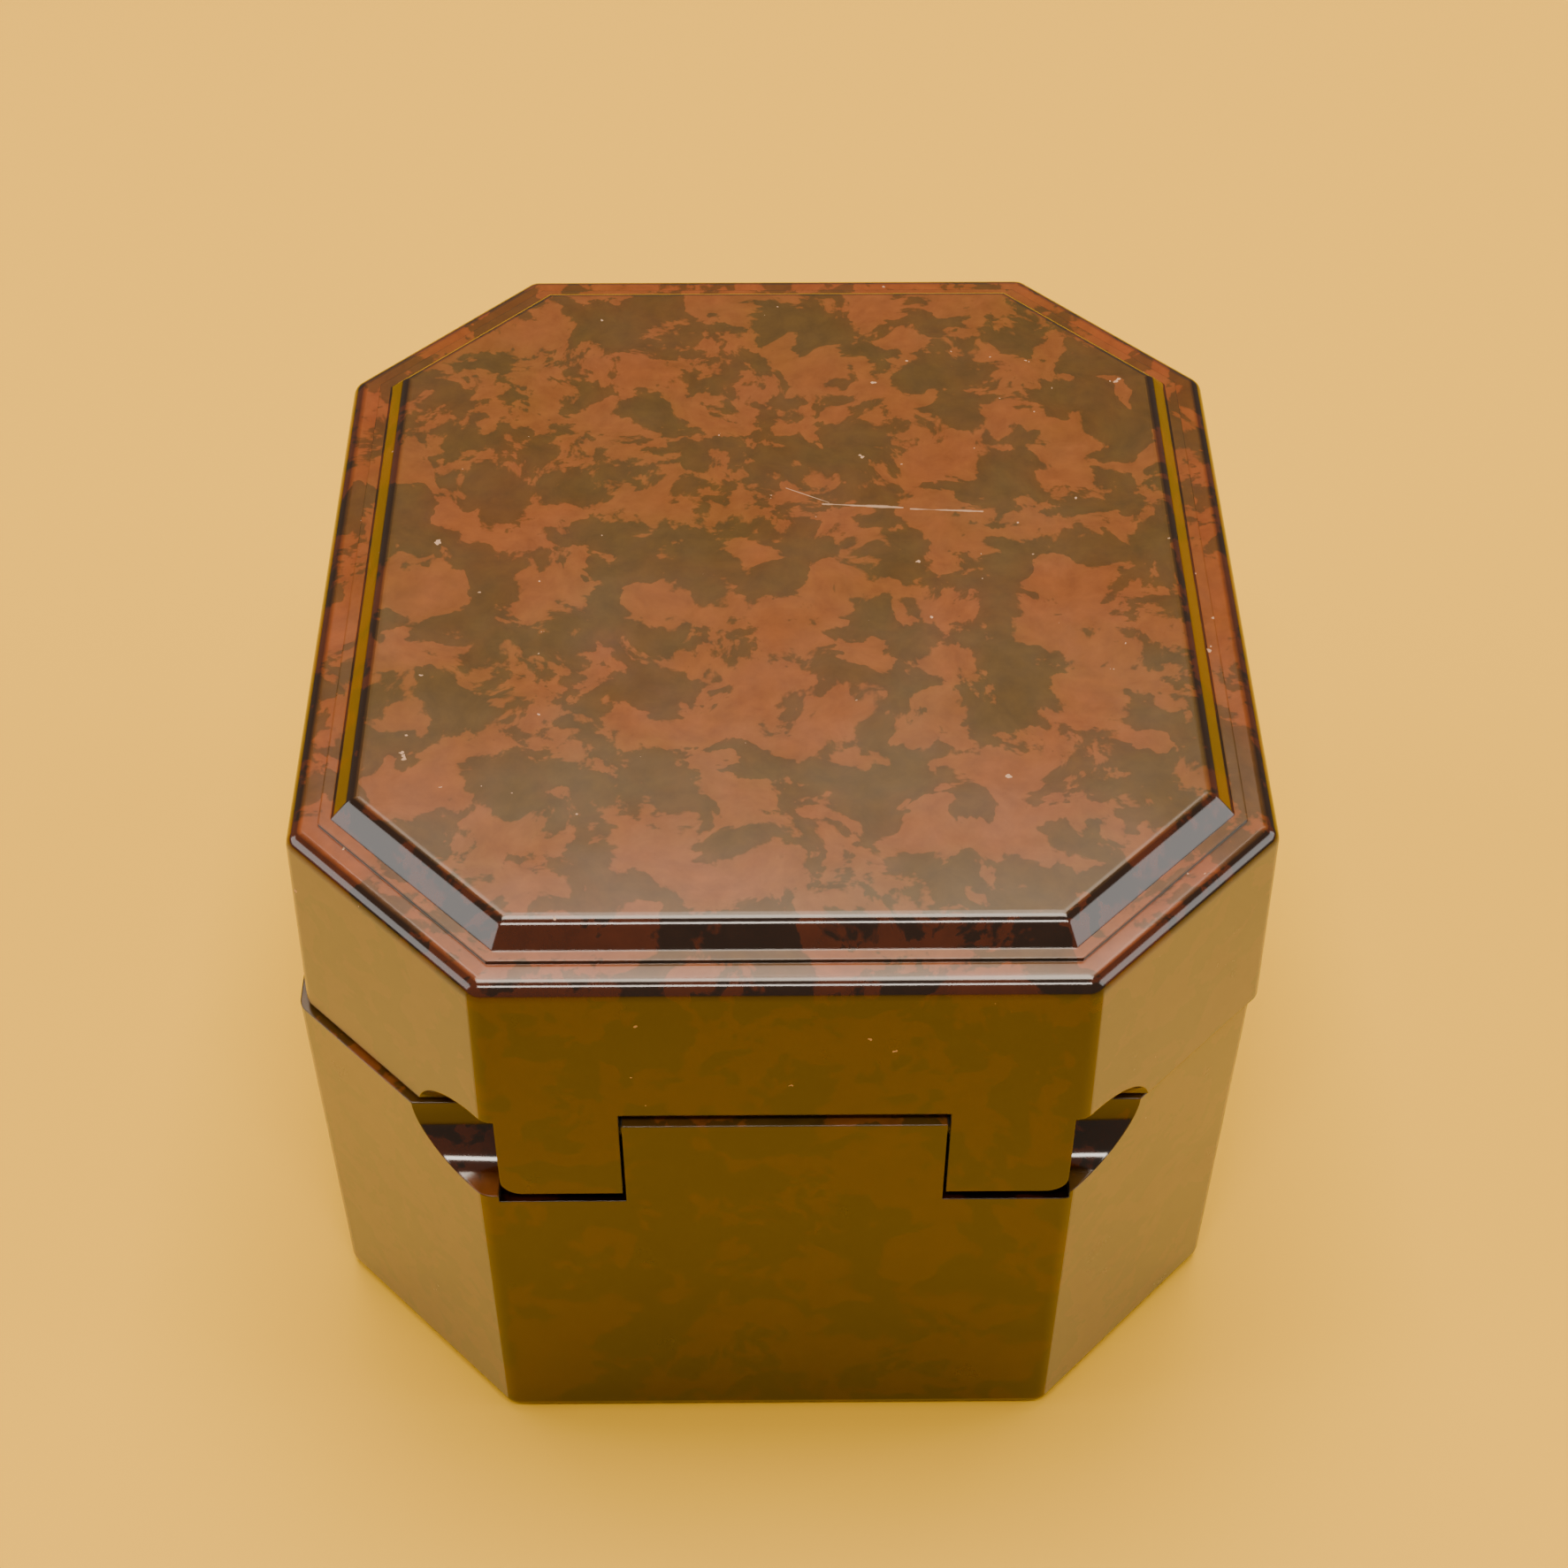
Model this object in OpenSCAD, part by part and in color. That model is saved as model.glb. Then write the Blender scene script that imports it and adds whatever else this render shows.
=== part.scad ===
// Hinged moulded case for a cake of rosin.
// An eight-sided base and lid turn on one steel pin at the back (-Y). A felt pad, a gathered
// cloth and the cake sit in the base, and a second felt pad lines the lid.
// Origin: middle of the underside. +Z is up and +Y points to the lip where the lid opens.

/* [Case] */
// Width of the case, side to side
case_w = 45; // [43:0.5:60]
// Depth of the case, hinge face to opening face
case_d = 50.5; // [49:0.5:65]
// Length that each corner chamfer takes off a side
chamfer = 9.05; // [7:0.05:11]
// Height of the base, which is also the height of the hinge axis
base_h = 21.8; // [18:0.1:25]
// Height of the flat rim around the top of the lid
rim_h = 33.5; // [31:0.1:44]
// Wall thickness of base and lid
wall = 2.5; // [2:0.1:3]
// Thickness of the base's floor and of the lid's roof
floor_t = 2.5; // [2:0.1:3.5]
// Radius of the upright edges
edge_r = 1; // [0.6:0.1:1.5]
// Radius of the rolled edge at the top of the lid's wall
roll_r = 0.8; // [0.5:0.1:1.2]
// Radius of the edge around the underside
foot_r = 0.9; // [0.5:0.1:1.2]
// How much the lid's wall leans in on each side, from mouth to rim
lid_draft = 0.35; // [0:0.05:0.6]
// How much the base's wall leans in on each side, from mouth to underside
base_draft = 0.15; // [0:0.05:0.5]
// How far the lid sits to the right of the base
mould_offset = 0.35; // [0:0.05:0.5]

/* [Lid moulding] */
// Height of the raised panel above the rim
panel_h = 1.15; // [0.8:0.05:1.6]
// Distance from the wall to the foot of the step
step_inset = 1.5; // [1.3:0.05:2.2]
// Height of the narrow step around the panel
step_h = 0.2; // [0.1:0.05:0.3]
// Width of the narrow step
step_w = 0.55; // [0.4:0.05:0.8]
// Slope of the panel's side, in degrees
panel_slope = 45; // [35:1:60]
// Radius of the panel's rounded shoulder
shoulder_r = 0.9; // [0.4:0.05:1]

/* [Parting line] */
// Gap between base and lid at the hinge face
gap_back = 0.5; // [0.2:0.05:0.6]
// Gap between base and lid at the opening face
gap_front = 0.05; // [0.05:0.01:0.2]
// Width of the fingernail groove in the lid's lip
nail_w = 12; // [8:0.5:16]
// Depth of the fingernail groove
nail_depth = 0.8; // [0.4:0.1:1]

/* [Hinge] */
// Distance from the hinge face to the pin's axis
hinge_inset = 2.3; // [2.1:0.05:2.4]
// Height of a knuckle above or below the axis
knuckle_h = 2.55; // [2.2:0.05:2.8]
// Height of the cut that a knuckle turns in, above or below the axis
cut_h = 3.15; // [3:0.05:3.4]
// Width of the base's middle knuckle
tongue_w = 14.5; // [12:0.1:16]
// Width of each of the lid's two knuckles
ear_w = 5.55; // [4.5:0.05:6]
// Gap between neighbouring knuckles
side_gap = 0.15; // [0.1:0.01:0.25]
// Radius at the outer lower corner of each ear
ear_corner_r = 1; // [0.5:0.1:1.5]
// Diameter of the hinge pin
pin_d = 1.6; // [1.2:0.1:2]
// Radial running clearance between the pin and the ears
pin_clear = 0.05; // [0.02:0.01:0.08]
// Radius of the round opening in the back chamfers, where the pin goes in
relief_r = 2.8; // [2.7:0.05:3]
// Depth of that opening's centre behind the hinge face
relief_inset = 0.5; // [0.4:0.05:0.6]
// Thickness of wall and hinge block between the hinge face and the inside
hinge_block = 8; // [8:0.1:9]

/* [Lid spring] */
// Distance from the axis to the ears' flats and the spring
flat_dist = 2.95; // [2.8:0.05:3.1]
// Thickness of the spring strip
strip_t = 0.35; // [0.25:0.05:0.5]
// Height of the spring strip
strip_h = 4.3; // [3.5:0.1:5]
// Distance between the two screws
screw_pitch = 8; // [6:0.5:10]
// Shank diameter of the screws
screw_d = 1; // [0.8:0.1:1.2]
// Head diameter of the screws
screw_head_d = 2.2; // [1.8:0.1:2.4]
// Thread length of the screws
screw_len = 2.6; // [2:0.1:3]

/* [Contents] */
// Diameter of the rosin cake
cake_d = 36; // [30:0.5:37]
// Thickness of the rosin cake
cake_h = 16; // [10:0.5:18]
// Radius of the cake's edges
cake_edge_r = 1; // [0.5:0.1:2]
// Width of the groove that the bow has worn across the cake
groove_w = 11; // [6:0.5:14]
// Depth of that groove
groove_depth = 0.8; // [0.2:0.1:1.5]
// Thickness of the felt pad under the cake
base_pad_t = 5.5; // [2:0.5:7]
// Thickness of the felt pad in the lid
lid_pad_t = 1.5; // [1:0.1:2.5]
// Thickness of the gathered cloth around the cake
cloth_t = 0.7; // [0.5:0.1:0.8]
// Height that the cloth reaches up around the cake
cloth_h = 12; // [6:0.5:13]

/* [Hidden] */

$fn = 64;
SLICE = 0.001;          // thickness of one layer of a lofted body
ARC_STEPS = 5;          // straight pieces in an eighth of a turn or a rounded edge
FAR = 80;               // longer than the case in every direction
FIT = 0.15;             // gap between a pad and the walls around it
CONTACT_GAP = 0.05;     // gap between the spring and the ears' flats
RELIEF_LENGTH = 9;      // how far each pin opening runs from the ear to the side
SCREW_HEAD_T = 0.6;
MIN_CORNER_R = 0.15;    // radius of the upright edges of the panel and the step
CAVITY_CORNER_R = 2;    // radius of the upright edges inside
CAVITY_FILLET_R = 1;    // radius between the inside walls and the floor or roof
CAVITY_DRAFT = 0.15;    // how much the inside walls lean in on each side
NAIL_H = 1.6;           // height of the fingernail groove above the lid's mouth
STRIP_LOW = 0.3;        // how far the spring's upper edge lies below the base's mouth
SCREW_LOW = 0.6;        // how far the screws lie below the middle of the spring
POCKET_ROOM = 0.4;      // room below the spring in its pocket
SCREW_ROOM = 0.1;       // how much wider the spring's holes are than the screws
CLOTH_ROOM = 0.2;       // room between the cake and the cloth around it
OVER = 1;               // how far a cut or a joined body runs past a face
FOOT_SINK = 0.08;       // how far below the step's top the panel's slope starts

back_y = -case_d / 2;
axis_y = back_y + hinge_inset;
axis_z = base_h;
base_x = -mould_offset / 2;
lid_x = mould_offset / 2;
panel_z = rim_h + panel_h;
knuckle_r = norm([hinge_inset, knuckle_h]);
cut_r = norm([hinge_inset, cut_h]);
ear_in = tongue_w / 2 + side_gap;
ear_out = ear_in + ear_w;
cut_out = ear_out + side_gap;
cavity_w = case_w - 2 * wall;
cavity_d = case_d - hinge_block - wall;
cavity_y = (hinge_block - wall) / 2;
cavity_chamfer = chamfer - wall * (2 - sqrt(2));
spring_y = axis_y + flat_dist + CONTACT_GAP;
strip_top = axis_z - STRIP_LOW;
strip_z = strip_top - strip_h / 2;
screw_z = strip_z - SCREW_LOW;
pad_top = floor_t + base_pad_t;
cake_z = pad_top + cloth_t;
roof_z = panel_z - floor_t;
nail_r = (nail_w * nail_w / 4 + nail_depth * nail_depth) / (2 * nail_depth);
lid_lean = atan(lid_draft / (rim_h - roll_r - base_h - gap_front));

// Points of an eight-sided outline with round corners, inset from its full size.
function outline(w, d, c, r, inset) =
    let (
        x = w / 2 - inset,
        y = d / 2 - inset,
        k = c - inset * (2 - sqrt(2)),
        corners = [[x, -y + k], [x, y - k], [x - k, y], [-x + k, y],
            [-x, y - k], [-x, -y + k], [-x + k, -y], [x - k, -y]],
        back = r / cos(22.5)
    )
    [for (i = [0:7], j = [0:ARC_STEPS])
        let (
            start = i * 45 - 45,
            middle = start + 22.5,
            centre = corners[i] - back * [cos(middle), sin(middle)],
            a = start + 45 * j / ARC_STEPS
        )
        centre + r * [cos(a), sin(a)]];

// One thin layer of the case's outline at height z, with upright edges of radius r.
module layer(z, inset, r = edge_r) {
    translate([0, 0, z])
        linear_extrude(SLICE)
            polygon(outline(case_w, case_d, chamfer, max(r, MIN_CORNER_R), inset));
}

// One thin layer of the hollow's outline at height z.
module cavity_layer(z, inset) {
    translate([0, cavity_y, z])
        linear_extrude(SLICE)
            polygon(outline(cavity_w, cavity_d, cavity_chamfer, CAVITY_CORNER_R, inset));
}

// A rod along X at the hinge axis's height, from x0 to x1.
module rod_x(x0, x1, r, y = axis_y) {
    translate([x0, y, axis_z])
        rotate([0, 90, 0])
            cylinder(h = x1 - x0, r = r);
}

// A box from one corner to the other.
module box(low, high) {
    translate(low)
        cube(high - low);
}

// Both sides of the hinge, mirrored about the lid's middle.
module both_sides() {
    translate([lid_x, 0, 0])
        for (side = [0, 1])
            mirror([side, 0, 0])
                children();
}

// The round opening through a back chamfer, from x0 beside the ear.
module pin_opening(x0) {
    rod_x(x0, x0 + RELIEF_LENGTH, relief_r, back_y + relief_inset);
}

module base_body() {
    hull() {
        for (i = [0:ARC_STEPS])
            let (a = 90 * i / ARC_STEPS)
                layer(foot_r * (1 - cos(a)), base_draft + foot_r * (1 - sin(a)),
                    edge_r - foot_r * (1 - sin(a)));
        layer(base_h - SLICE, 0);
    }
}

module base_cavity() {
    r = CAVITY_FILLET_R;
    hull() {
        for (i = [0:ARC_STEPS])
            let (a = 90 * i / ARC_STEPS)
                cavity_layer(floor_t + r * (1 - cos(a)), CAVITY_DRAFT + r * (1 - sin(a)));
        cavity_layer(base_h + OVER, 0);
    }
}

// What the base's middle knuckle adds above the base: round about the axis, flush with the
// hinge face, flat on top.
module tongue() {
    intersection() {
        rod_x(-tongue_w / 2, tongue_w / 2, knuckle_r);
        box([-FAR, back_y, axis_z], [FAR, spring_y, axis_z + knuckle_h]);
    }
}

module spring_pocket() {
    box([-cut_out, spring_y, strip_top - strip_h - POCKET_ROOM],
        [cut_out, back_y + hinge_block + OVER, axis_z + OVER]);
}

module spring_screw_places() {
    for (side = [-1, 1])
        translate([lid_x + side * screw_pitch / 2, spring_y, screw_z])
            rotate([90, 0, 0])
                children();
}

module base_shell() {
    color("#6E5224")
        difference() {
            union() {
                difference() {
                    translate([base_x, 0, 0]) {
                        difference() {
                            base_body();
                            base_cavity();
                        }
                    }
                    both_sides() {
                        rod_x(tongue_w / 2, cut_out, cut_r);
                        pin_opening(cut_out);
                    }
                    translate([lid_x, 0, 0])
                        spring_pocket();
                }
                translate([lid_x, 0, 0])
                    tongue();
            }
            translate([lid_x, 0, 0])
                rod_x(-cut_out, cut_out, pin_d / 2);
            spring_screw_places()
                cylinder(h = screw_len, d = screw_d);
        }
}

module lid_body() {
    hull() {
        layer(base_h + gap_front, 0);
        for (i = [0:ARC_STEPS])
            let (a = 90 * i / ARC_STEPS)
                layer(rim_h - SLICE - roll_r * (1 - sin(a)), lid_draft + roll_r * (1 - cos(a)),
                    edge_r - roll_r * (1 - cos(a)));
    }
}

// The narrow step.
module lid_step() {
    translate([0, 0, rim_h - OVER])
        linear_extrude(OVER + step_h)
            polygon(outline(case_w, case_d, chamfer, MIN_CORNER_R, lid_draft + step_inset));
}

// The raised panel, with a sloping side and a round shoulder.
module lid_panel() {
    foot = lid_draft + step_inset + step_w - FOOT_SINK / tan(panel_slope);
    drop = shoulder_r * (1 - cos(panel_slope));
    side = foot + (panel_h - step_h + FOOT_SINK - drop) / tan(panel_slope);
    hull() {
        layer(rim_h - OVER / 2, foot, 0);
        layer(rim_h + step_h - FOOT_SINK, foot, 0);
        for (i = [0:ARC_STEPS])
            let (a = panel_slope * (1 - i / ARC_STEPS))
                layer(panel_z - SLICE - shoulder_r * (1 - cos(a)),
                    side + shoulder_r * (sin(panel_slope) - sin(a)), 0);
    }
}

module lid_cavity() {
    r = CAVITY_FILLET_R;
    hull() {
        cavity_layer(base_h - OVER, 0);
        for (i = [0:ARC_STEPS])
            let (a = 90 * i / ARC_STEPS)
                cavity_layer(roof_z - SLICE - r * (1 - sin(a)), CAVITY_DRAFT + r * (1 - cos(a)));
    }
}

// What is cut away below the lid's mouth, which rises a little towards the hinge.
module below_mouth() {
    rise = (gap_back - gap_front) / case_d;
    translate([0, case_d / 2, base_h + gap_front])
        rotate([-atan(rise), 0, 0])
            box([-FAR, -FAR, -FAR], [FAR, FAR, 0]);
}

// One of the lid's knuckles, flush with the lid's wall, with flats below and in front.
module ear() {
    difference() {
        intersection() {
            union() {
                rod_x(ear_in, ear_out, knuckle_r);
                box([ear_in, back_y, axis_z], [ear_out, axis_y + flat_dist, axis_z + cut_r + OVER]);
            }
            translate([0, axis_y + flat_dist, 0])
                rotate([90, 0, 0])
                    linear_extrude(flat_dist + hinge_inset)
                        ear_front();
        }
        translate([0, back_y, base_h + gap_front])
            rotate([-lid_lean, 0, 0])
                box([0, -wall, 0], [FAR, 0, FAR]);
    }
}

// An ear as seen from the hinge side: square at the inner corner, round at the outer one.
module ear_front() {
    low = axis_z - knuckle_h;
    r = ear_corner_r;
    translate([ear_out - r, low + r])
        circle(r);
    translate([ear_in, low])
        square([ear_w - r, FAR]);
    translate([ear_in, low + r])
        square([ear_w, FAR]);
}

// A shallow groove, deepest in the middle, as a disc cutter leaves it.
module nail_groove() {
    translate([lid_x, case_d / 2 + nail_r - nail_depth, base_h])
        cylinder(h = gap_front + NAIL_H, r = nail_r, $fn = 2 * $fn);
}

module lid_shell() {
    color("#8A5A30")
        difference() {
            union() {
                difference() {
                    translate([lid_x, 0, 0]) {
                        difference() {
                            union() {
                                lid_body();
                                lid_step();
                                lid_panel();
                            }
                            lid_cavity();
                            below_mouth();
                        }
                    }
                    translate([lid_x, 0, 0])
                        rod_x(-ear_in, ear_in, cut_r);
                    both_sides()
                        pin_opening(ear_out);
                    nail_groove();
                }
                both_sides()
                    ear();
            }
            translate([lid_x, 0, 0])
                rod_x(-cut_out, cut_out, pin_d / 2 + pin_clear);
        }
}

module hinge_pin() {
    color("#B8BABD")
        translate([lid_x, 0, 0])
            rod_x(-ear_out, ear_out, pin_d / 2);
}

module lid_spring() {
    color("#8C9096")
        difference() {
            translate([lid_x, 0, 0])
                box([-ear_out, spring_y, strip_top - strip_h], [ear_out, spring_y + strip_t, strip_top]);
            spring_screw_places()
                translate([0, 0, -strip_t - OVER])
                    cylinder(h = strip_t + 2 * OVER, d = screw_d + SCREW_ROOM);
        }
}

module spring_screws() {
    color("#B59245")
        spring_screw_places() {
            cylinder(h = screw_len, d = screw_d);
            translate([0, 0, -strip_t])
                cylinder(h = strip_t, d = screw_d);
            translate([0, 0, -strip_t - SCREW_HEAD_T])
                cylinder(h = SCREW_HEAD_T, d = screw_head_d);
        }
}

// A pad cut to the hollow's outline, less the fitting gap.
module pad(z0, z1, inset) {
    translate([0, cavity_y, z0])
        linear_extrude(z1 - z0)
            polygon(outline(cavity_w, cavity_d, cavity_chamfer, CAVITY_CORNER_R, inset));
}

module base_pad() {
    color("#4A1F24")
        translate([base_x, 0, 0])
            pad(floor_t, pad_top, CAVITY_FILLET_R + FIT);
}

module lid_pad() {
    color("#4A1F24")
        translate([lid_x, 0, 0])
            pad(roof_z - lid_pad_t, roof_z, CAVITY_FILLET_R + FIT);
}

module cake_cloth() {
    color("#5C2430")
        translate([base_x, cavity_y, pad_top])
            difference() {
                cylinder(h = cloth_h, d = cake_d + 2 * (CLOTH_ROOM + cloth_t));
                translate([0, 0, cloth_t])
                    cylinder(h = cloth_h, d = cake_d + 2 * CLOTH_ROOM);
            }
}

// Half of the cake's section, to be turned about its middle.
module cake_section() {
    r = cake_edge_r;
    x = cake_d / 2;
    square([x - r, cake_h]);
    translate([0, r])
        square([x, cake_h - 2 * r]);
    for (y = [r, cake_h - r])
        translate([x - r, y])
            circle(r);
}

module rosin_cake() {
    groove_r = (groove_w * groove_w / 4 + groove_depth * groove_depth) / (2 * groove_depth);
    color("#A8601C")
        translate([base_x, cavity_y, cake_z])
            difference() {
                rotate_extrude()
                    cake_section();
                translate([-FAR / 2, 0, cake_h + groove_r - groove_depth])
                    rotate([0, 90, 0])
                        cylinder(h = FAR, r = groove_r);
            }
}

base_shell();
lid_shell();
hinge_pin();
lid_spring();
spring_screws();
base_pad();
cake_cloth();
rosin_cake();
lid_pad();
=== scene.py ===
"""The looks of a rosin cake in a hinged moulded case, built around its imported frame."""

import math

import bmesh
import bpy
from bpy.props import FloatProperty, FloatVectorProperty, IntProperty, PointerProperty
from mathutils import Matrix, Quaternion, Vector, noise


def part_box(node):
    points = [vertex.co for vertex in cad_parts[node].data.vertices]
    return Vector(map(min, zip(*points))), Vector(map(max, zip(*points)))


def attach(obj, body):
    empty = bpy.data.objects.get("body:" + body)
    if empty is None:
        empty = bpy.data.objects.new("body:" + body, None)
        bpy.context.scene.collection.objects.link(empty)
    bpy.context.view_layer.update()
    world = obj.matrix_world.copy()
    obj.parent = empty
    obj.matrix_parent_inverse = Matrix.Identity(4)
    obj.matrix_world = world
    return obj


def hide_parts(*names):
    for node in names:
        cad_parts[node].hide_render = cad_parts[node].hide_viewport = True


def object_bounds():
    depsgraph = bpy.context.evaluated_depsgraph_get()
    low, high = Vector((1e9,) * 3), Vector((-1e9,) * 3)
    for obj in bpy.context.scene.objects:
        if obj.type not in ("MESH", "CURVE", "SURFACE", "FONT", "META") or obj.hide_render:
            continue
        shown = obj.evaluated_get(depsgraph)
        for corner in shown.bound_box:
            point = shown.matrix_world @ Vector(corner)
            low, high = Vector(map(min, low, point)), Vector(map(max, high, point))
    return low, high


bl_info = {
    "name": "Rosin Case",
    "version": (1, 0, 0),
    "blender": (4, 5, 0),
    "location": "View3D > Sidebar > Rosin Case",
    "description": "Builds a rosin cake in its hinged moulded case",
    "category": "Object",
}

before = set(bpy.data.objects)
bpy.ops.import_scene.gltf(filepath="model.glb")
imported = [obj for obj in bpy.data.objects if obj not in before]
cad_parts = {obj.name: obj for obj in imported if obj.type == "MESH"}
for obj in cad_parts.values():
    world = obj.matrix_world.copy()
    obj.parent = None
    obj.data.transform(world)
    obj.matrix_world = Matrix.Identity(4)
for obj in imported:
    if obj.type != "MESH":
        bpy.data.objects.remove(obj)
cad_low, cad_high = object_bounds()

MM = 0.001
BASE = "case_base"
LID = "case_lid"
PANEL_H = 1.15 * MM  # height of the lid's raised panel above its rim
CLOTH_T = 0.3 * MM


# Helpers


def hex_colour(text):
    """An sRGB hex value such as #A05A2C as an opaque linear colour."""
    parts = [int(text[i : i + 2], 16) / 255 for i in (1, 3, 5)]
    linear = [c / 12.92 if c <= 0.04045 else ((c + 0.055) / 1.055) ** 2.4 for c in parts]
    return (*linear, 1.0)


def add_node(tree, kind, inputs=None, stops=None, out=0, **settings):
    """Adds a node and returns one of its outputs, or the node itself when it has none. inputs maps a
    socket's name or number to a value or to the socket that feeds it, and stops are a colour ramp's
    places and colours."""
    made = tree.nodes.new(kind)
    for name, value in settings.items():
        setattr(made, name, value)
    for key, value in (inputs or {}).items():
        if isinstance(value, bpy.types.NodeSocket):
            tree.links.new(value, made.inputs[key])
        else:
            made.inputs[key].default_value = value
    if stops:
        elements = made.color_ramp.elements
        while len(elements) < len(stops):
            elements.new(1.0)
        for element, (place, colour) in zip(elements, stops):
            element.position = place
            element.color = colour
    return made.outputs[out] if made.outputs else made


def new_material(name):
    """An empty node material."""
    material = bpy.data.materials.new(name)
    material.use_nodes = True
    material.node_tree.nodes.clear()
    return material


def millimetres(tree):
    """The piece's own coordinates, counted in millimetres."""
    place = add_node(tree, "ShaderNodeTexCoord", out=3)
    return add_node(tree, "ShaderNodeVectorMath", {0: place, 3: 1 / MM}, operation="SCALE")


def new_piece(name, bm, material, body):
    """Turns a bmesh into a smooth-shaded piece that rides on a body."""
    mesh = bpy.data.meshes.new(name)
    bm.to_mesh(mesh)
    bm.free()
    for polygon in mesh.polygons:
        polygon.use_smooth = True
    mesh.materials.append(material)
    piece = bpy.data.objects.new(name, mesh)
    bpy.context.scene.collection.objects.link(piece)
    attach(piece, body)
    return piece


def round_edges(piece, width, segments, angle):
    """Rounds a piece's sharp edges and lets its large faces set the shading."""
    bevel = piece.modifiers.new("edges", "BEVEL")
    bevel.width = width
    bevel.segments = segments
    bevel.limit_method = "ANGLE"
    bevel.angle_limit = math.radians(angle)
    bevel.miter_outer = "MITER_SHARP"
    normals = piece.modifiers.new("shading", "WEIGHTED_NORMAL")
    normals.keep_sharp = True


def keep_edges_crisp(piece, angle):
    """Splits the shading at a piece's sharp edges and lets its large faces set the rest."""
    bm = bmesh.new()
    bm.from_mesh(piece.data)
    for edge in bm.edges:
        edge.smooth = len(edge.link_faces) == 2 and edge.calc_face_angle() < math.radians(angle)
    bmesh.ops.triangulate(
        bm, faces=[face for face in bm.faces if len(face.verts) > 4], ngon_method="EAR_CLIP"
    )
    bm.to_mesh(piece.data)
    bm.free()
    normals = piece.modifiers.new("shading", "WEIGHTED_NORMAL")
    normals.keep_sharp = True


def merged_frame_mesh(node):
    """A frame node's mesh with its loose triangles joined and its flat faces made whole."""
    bm = bmesh.new()
    bm.from_mesh(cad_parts[node].data)
    bmesh.ops.remove_doubles(bm, verts=bm.verts, dist=0.002 * MM)
    bmesh.ops.dissolve_limit(
        bm, angle_limit=math.radians(0.4), verts=bm.verts, edges=bm.edges
    )
    return bm


# Materials


def scratch_mask(tree, place, start, end, width):
    """How much of one straight, broken scratch is at a point. Ends and width are in millimetres."""
    along = Vector(end) - Vector(start)
    length = along.length
    from_start = add_node(tree, "ShaderNodeVectorMath", {0: place, 1: start}, operation="SUBTRACT")
    run = add_node(
        tree, "ShaderNodeVectorMath", {0: from_start, 1: along / length}, out=1, operation="DOT_PRODUCT"
    )
    held = add_node(tree, "ShaderNodeClamp", {0: run, 1: 0.0, 2: length})
    foot = add_node(tree, "ShaderNodeVectorMath", {0: along / length, 3: held}, operation="SCALE")
    away = add_node(
        tree, "ShaderNodeVectorMath", {0: from_start, 1: foot}, out=1, operation="DISTANCE"
    )
    broken = add_node(tree, "ShaderNodeTexNoise", {0: place, 2: 1 / 0.9, 3: 3.0})
    reach = add_node(
        tree, "ShaderNodeMapRange", {0: broken, 1: 0.25, 2: 0.75, 3: 0.0, 4: width}, clamp=False
    )
    return add_node(tree, "ShaderNodeMapRange", {0: away, 1: 0.0, 2: reach, 3: 0.9, 4: 0.0})


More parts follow.
